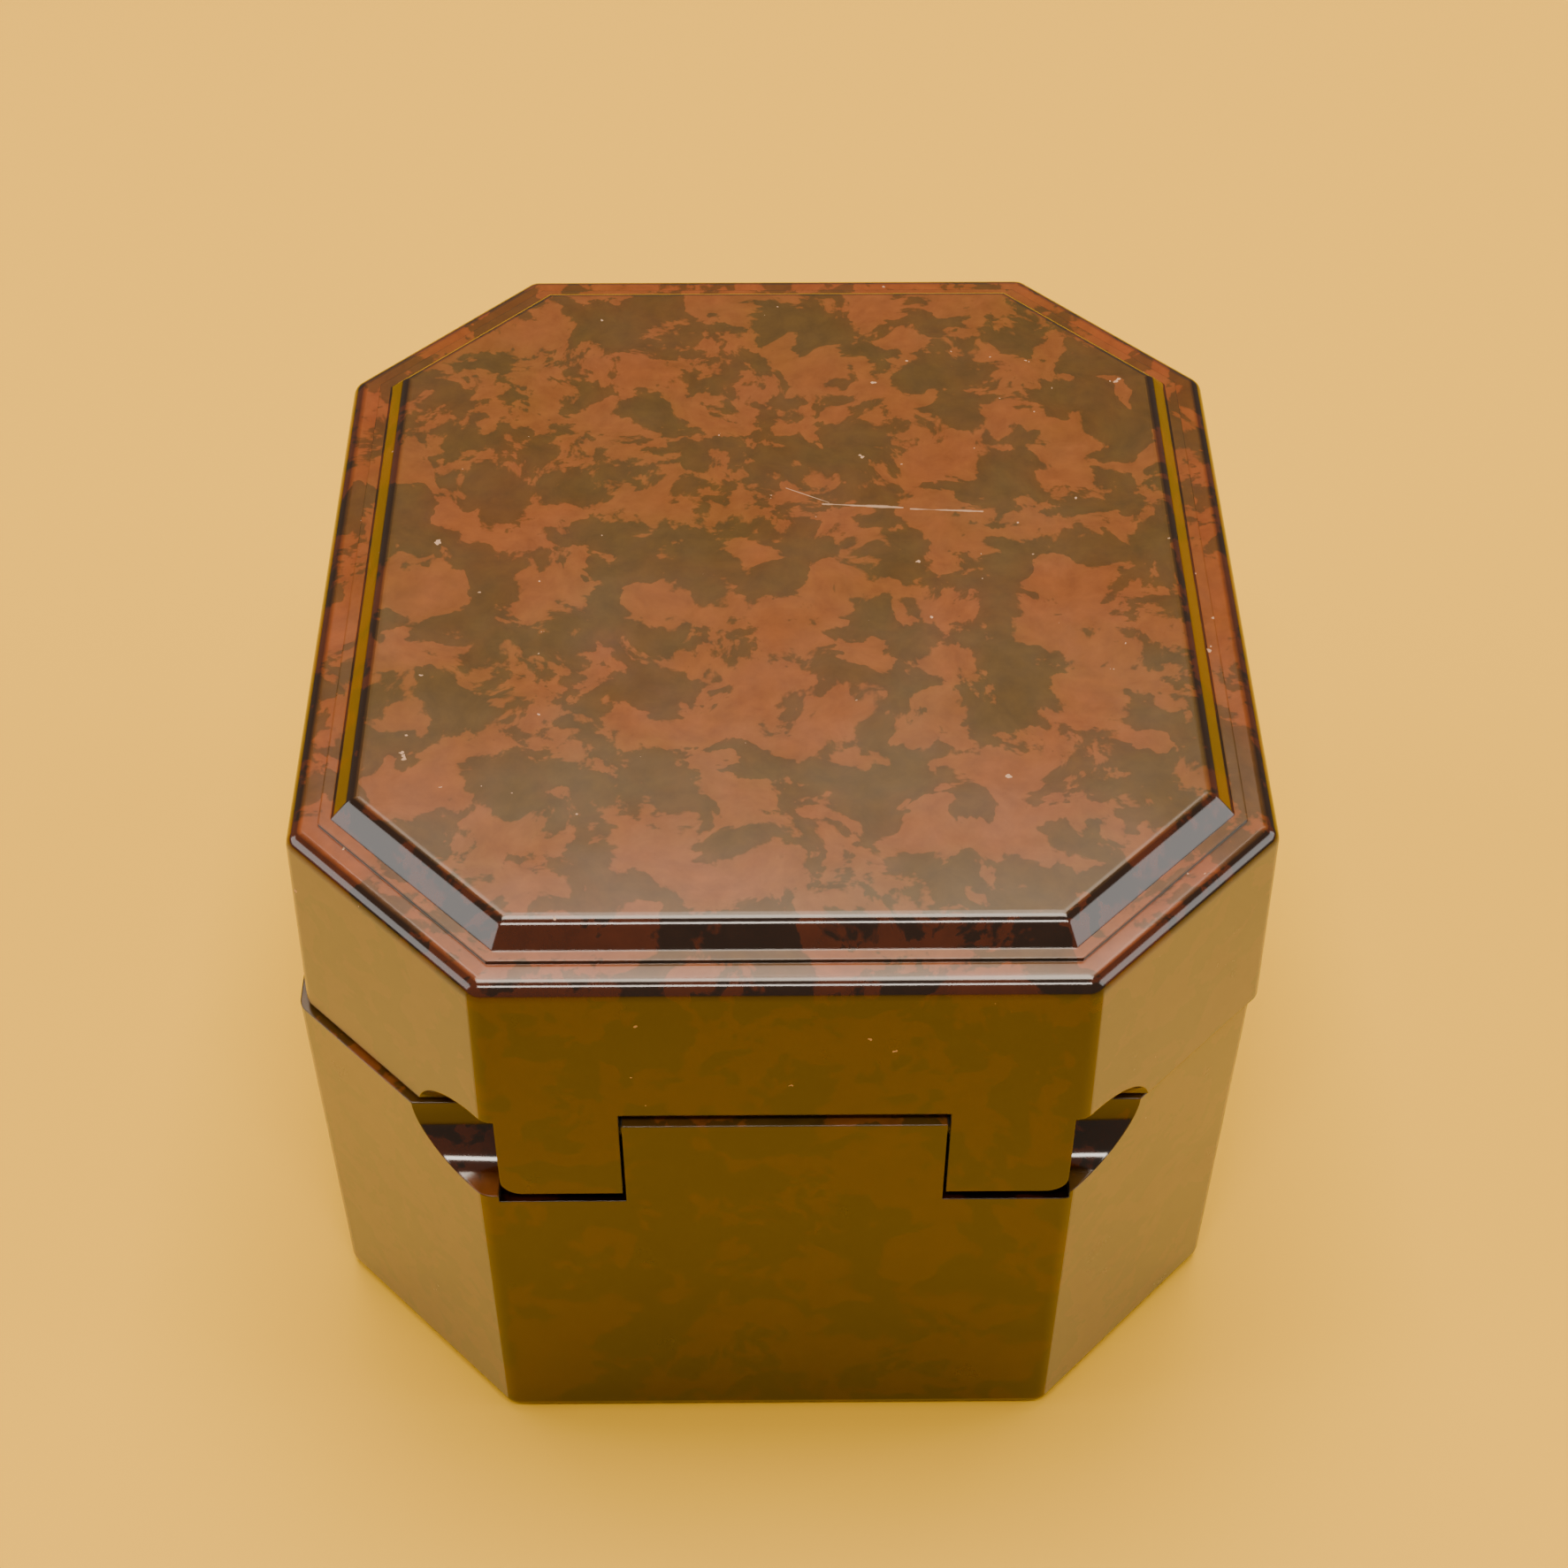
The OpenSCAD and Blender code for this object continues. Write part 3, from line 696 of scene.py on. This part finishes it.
class CASE_OT_pads(bpy.types.Operator):
    """Make the felt pads under the cake and in the lid"""

    bl_idname = "rosin_case.pads"
    bl_label = "Felt pads"

    def execute(self, context):
        settings = context.scene.rosin_contents
        felt = pressed_felt(settings)
        for node, body, outer in (("base_pad", BASE, 1), ("lid_pad", LID, -1)):
            bm = merged_frame_mesh(node)
            low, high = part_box(node)
            free_z = high.z if outer > 0 else low.z
            rim = [
                e for e in bm.edges
                if all(abs(v.co.z - free_z) < 0.01 * MM for v in e.verts) and len(e.link_faces) == 2
                and any(abs(f.normal.z) < 0.5 for f in e.link_faces)
            ]
            bmesh.ops.bevel(
                bm, geom=rim, offset=settings.fibre, offset_type="OFFSET", segments=4,
                profile=0.5, affect="EDGES", material=-1,
            )
            pad = new_piece(f"{node}_felt", bm, felt, body)
            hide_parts(node)
        return {"FINISHED"}


class CASE_OT_cloth(bpy.types.Operator):
    """Make the round of velvet gathered up around the cake"""

    bl_idname = "rosin_case.cloth"
    bl_label = "Gathered cloth"

    def execute(self, context):
        settings = context.scene.rosin_contents
        low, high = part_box("cake_cloth")
        cake_low, cake_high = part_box("rosin_cake")
        centre = (low + high) / 2
        cake_radius = (cake_high.x - cake_low.x) / 2
        pad_low, pad_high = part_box("base_pad")
        hollow = (pad_high.x - pad_low.x) / 2
        floor_z = low.z + 0.35 * MM
        rings = 40
        around = settings.folds * 10
        bm = bmesh.new()
        first = settings.cloth_diameter / 2 / rings
        bmesh.ops.create_circle(bm, cap_ends=False, radius=first, segments=around)
        outer = bm.edges[:]
        inner_face = bmesh.ops.contextual_create(bm, geom=outer)["faces"]
        bmesh.ops.poke(bm, faces=inner_face)
        for ring in range(2, rings + 1):
            grown = bmesh.ops.extrude_edge_only(bm, edges=outer)["geom"]
            outer = [g for g in grown if isinstance(g, bmesh.types.BMEdge)]
            verts = {v for e in outer for v in e.verts}
            bmesh.ops.scale(bm, vec=(ring / (ring - 1),) * 3, verts=list(verts))
        middle = Vector((centre.x, centre.y, floor_z))
        for v in bm.verts:
            v.co = self.gathered(v.co, cake_radius, hollow, settings.folds) + middle
        bmesh.ops.recalc_face_normals(bm, faces=bm.faces)
        cloth = new_piece("cake_cloth_velvet", bm, cotton_velvet(settings), BASE)
        thick = cloth.modifiers.new("thickness", "SOLIDIFY")
        thick.thickness = CLOTH_T
        thick.offset = 0
        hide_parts("cake_cloth")
        return {"FINISHED"}

    def gathered(self, flat, cake_radius, hollow, folds):
        """Where a point of the flat round lies once its edge is drawn up around the cake. The folds are
        pressed flat where the cake and the hollow's straight walls leave little room."""
        reach = flat.xy.length
        angle = math.atan2(flat.y, flat.x)
        turn = 1.2 * MM
        bottom = cake_radius - 0.6 * MM
        wall = cake_radius + 1.05 * MM
        if reach <= bottom:
            return Vector((flat.x, flat.y, 0))
        climb = reach - bottom
        bend = math.pi / 2 * turn
        if climb < bend:
            a = climb / turn
            radius, rise = bottom + (wall - bottom) * math.sin(a), turn * (1 - math.cos(a))
        else:
            radius, rise = wall, turn + (climb - bend)
        share = min(1.0, rise / (6 * MM))
        drift = noise.noise(Vector((math.cos(angle) * 2, math.sin(angle) * 2, rise * 60)))
        size = 1 + 0.35 * noise.noise(Vector((math.cos(angle) * 5, math.sin(angle) * 5, 4.0)))
        wave = math.cos(folds * angle + 1.6 * drift)
        fold = 0.75 * MM * size * share * wave
        lean = 0.5 * MM * share * (noise.noise(Vector((math.cos(angle) * 3, math.sin(angle) * 3, 9.0))))
        rise *= 0.8 + 0.05 * noise.noise(Vector((math.cos(angle) * 4, math.sin(angle) * 4, 1.0)))
        radius += fold + max(lean, -0.1 * MM)
        gap = 0.2 * MM
        to_wall = (hollow - gap) / max(abs(math.cos(angle)), abs(math.sin(angle)))
        radius = min(max(radius, cake_radius + gap * share), to_wall)
        return Vector((math.cos(angle) * radius, math.sin(angle) * radius, rise))


class CASE_OT_cake(bpy.types.Operator):
    """Make the cast rosin cake, with its worn groove"""

    bl_idname = "rosin_case.cake"
    bl_label = "Rosin cake"

    def execute(self, context):
        settings = context.scene.rosin_contents
        bm = merged_frame_mesh("rosin_cake")
        bmesh.ops.triangulate(bm, faces=bm.faces)
        cake = new_piece("rosin_cake_cast", bm, cast_rosin(settings), BASE)
        round_edges(cake, 0.15 * MM, 2, 40)
        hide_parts("rosin_cake")
        return {"FINISHED"}


class CASE_OT_stage(bpy.types.Operator):
    """Set up the floor, the soft lights and the camera"""

    bl_idname = "rosin_case.stage"
    bl_label = "Stage"

    def execute(self, context):
        settings = context.scene.rosin_stage
        self.floor(settings)
        world = bpy.data.worlds.new("soft_room")
        context.scene.world = world
        world.use_nodes = True
        background = world.node_tree.nodes["Background"]
        background.inputs["Color"].default_value = hex_colour("#F0E0C8")
        background.inputs["Strength"].default_value = 0.35
        middle = Vector((0, 0, cad_high.z))
        # Name, azimuth, elevation, distance, width, height, strength and colour of each soft light.
        for light in (
            ("key_strip", 180, 63, 0.60, 0.34, 0.06, 1.5, "#FFF4E6"),
            ("ceiling", 0, 81, 0.60, 0.40, 0.20, 2.9, "#FFF0DC"),
            ("far_window", 0, 60, 0.60, 0.40, 0.15, 1.0, "#FFEBD6"),
            ("left_window", -90, 24, 0.60, 0.40, 0.30, 0.5, "#FAF8F4"),
            ("right_window", 90, 24, 0.60, 0.40, 0.30, 0.5, "#FAF8F4"),
        ):
            self.soft_light(middle, *light)
        self.camera(settings)
        return {"FINISHED"}

    def floor(self, settings):
        bm = bmesh.new()
        bmesh.ops.create_grid(bm, x_segments=1, y_segments=1, size=3.0)
        mesh = bpy.data.meshes.new("floor")
        bm.to_mesh(mesh)
        bm.free()
        mesh.materials.append(plain_floor(settings))
        floor = bpy.data.objects.new("floor", mesh)
        bpy.context.scene.collection.objects.link(floor)

    def soft_light(self, middle, name, azimuth, elevation, distance, width, height, strength, colour):
        """An area light that faces the case. Azimuth 0 is beyond the case and 90 is to its right, and
        strength is what reaches the floor below, in watts for each square metre."""
        a, e = math.radians(azimuth), math.radians(elevation)
        away = Vector((math.sin(a) * math.cos(e), math.cos(a) * math.cos(e), math.sin(e)))
        data = bpy.data.lights.new(name, "AREA")
        data.shape = "RECTANGLE"
        data.size, data.size_y = width, height
        data.energy = strength * math.pi * distance * distance / math.sin(e)
        data.color = hex_colour(colour)[:3]
        light = bpy.data.objects.new(name, data)
        light.location = middle + away * distance
        light.rotation_mode = "QUATERNION"
        light.rotation_quaternion = (-away).to_track_quat("-Z", "Y")
        bpy.context.scene.collection.objects.link(light)

    def camera(self, settings):
        data = bpy.data.cameras.new("camera")
        data.sensor_width = 36
        data.lens = settings.lens
        data.clip_start, data.clip_end = 0.005, 10
        camera = bpy.data.objects.new("camera", data)
        place = Vector(settings.camera)
        camera.location = place
        camera.rotation_mode = "QUATERNION"
        camera.rotation_quaternion = (Vector(settings.aim) - place).to_track_quat("-Z", "Y") @ Quaternion(
            (0, 0, 1), settings.tilt
        )
        bpy.context.scene.collection.objects.link(camera)
        bpy.context.scene.camera = camera


class CASE_PT_panel(bpy.types.Panel):
    """Lists the pieces of the case"""

    bl_idname = "CASE_PT_panel"
    bl_label = "Rosin Case"
    bl_space_type = "VIEW_3D"
    bl_region_type = "UI"
    bl_category = "Rosin Case"

    def draw(self, context):
        for operator in BUILD_ORDER:
            self.layout.operator(operator.bl_idname)
        for group in ("rosin_case", "rosin_contents", "rosin_stage"):
            settings = getattr(context.scene, group)
            for name in settings.bl_rna.properties.keys():
                if name not in ("rna_type", "name"):
                    self.layout.prop(settings, name)


BUILD_ORDER = (
    CASE_OT_stage,
    CASE_OT_shells,
    CASE_OT_metalwork,
    CASE_OT_pads,
    CASE_OT_cloth,
    CASE_OT_cake,
)
CLASSES = (CaseSettings, ContentsSettings, StageSettings, *BUILD_ORDER, CASE_PT_panel)


def register():
    for cls in CLASSES:
        bpy.utils.register_class(cls)
    bpy.types.Scene.rosin_case = PointerProperty(type=CaseSettings)
    bpy.types.Scene.rosin_contents = PointerProperty(type=ContentsSettings)
    bpy.types.Scene.rosin_stage = PointerProperty(type=StageSettings)


def unregister():
    for name in ("rosin_case", "rosin_contents", "rosin_stage"):
        delattr(bpy.types.Scene, name)
    for cls in reversed(CLASSES):
        bpy.utils.unregister_class(cls)


def main():
    register()
    bpy.ops.rosin_case.stage()
    bpy.ops.rosin_case.shells()
    bpy.ops.rosin_case.metalwork()
    bpy.ops.rosin_case.pads()
    bpy.ops.rosin_case.cloth()
    bpy.ops.rosin_case.cake()


if __name__ == "__main__":
    main()
